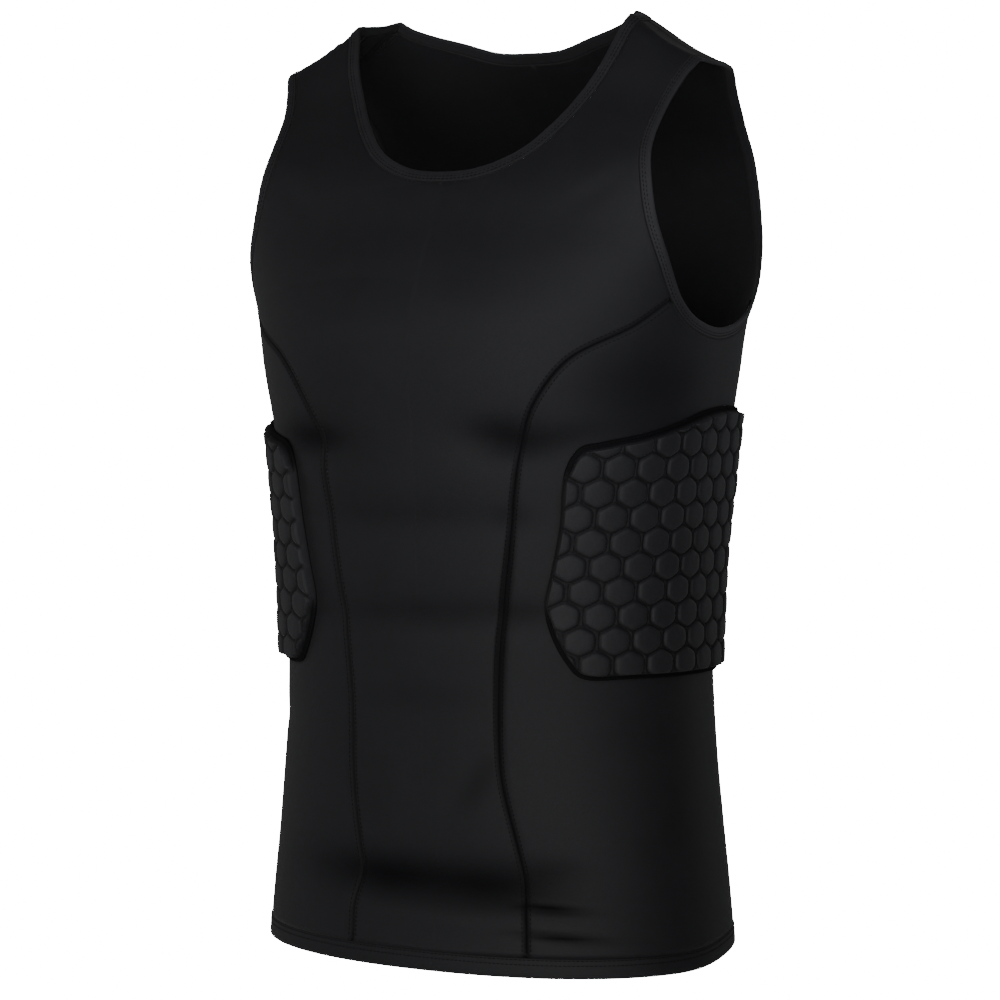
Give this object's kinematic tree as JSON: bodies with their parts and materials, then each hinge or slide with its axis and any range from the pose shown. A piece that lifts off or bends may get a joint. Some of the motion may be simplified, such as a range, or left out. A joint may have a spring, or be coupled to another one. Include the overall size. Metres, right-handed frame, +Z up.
{
  "type": "padded compression shirt",
  "caption": "Close-fitting sleeveless stretch top with deep armholes, bound edges, curved front seams and a honeycomb foam pad sewn over each side of the ribs.",
  "frame": {"origin": "midway between the two shoulder straps, at the height of the neck points, where the wearer's shoulders carry the shirt", "axes": "+Z up, -Y out of the chest, +X towards the wearer's left arm"},
  "size_m": [0.352, 0.2685, 0.6688],
  "materials": {
    "knit": "black stretch knit, matt with a soft sheen",
    "binding": "black folded knit binding, matt",
    "pad": "black knit moulded over foam, matt"
  },
  "bodies": {
    "root": {"front_panel": "knit", "back_panel": "knit", "side_panel_left": "knit", "side_panel_right": "knit", "neck_band": "binding", "armhole_band_left": "binding", "armhole_band_right": "binding", "hem_band": "binding", "rib_pad_left": "pad", "rib_pad_right": "pad"}
  },
  "joints": []
}
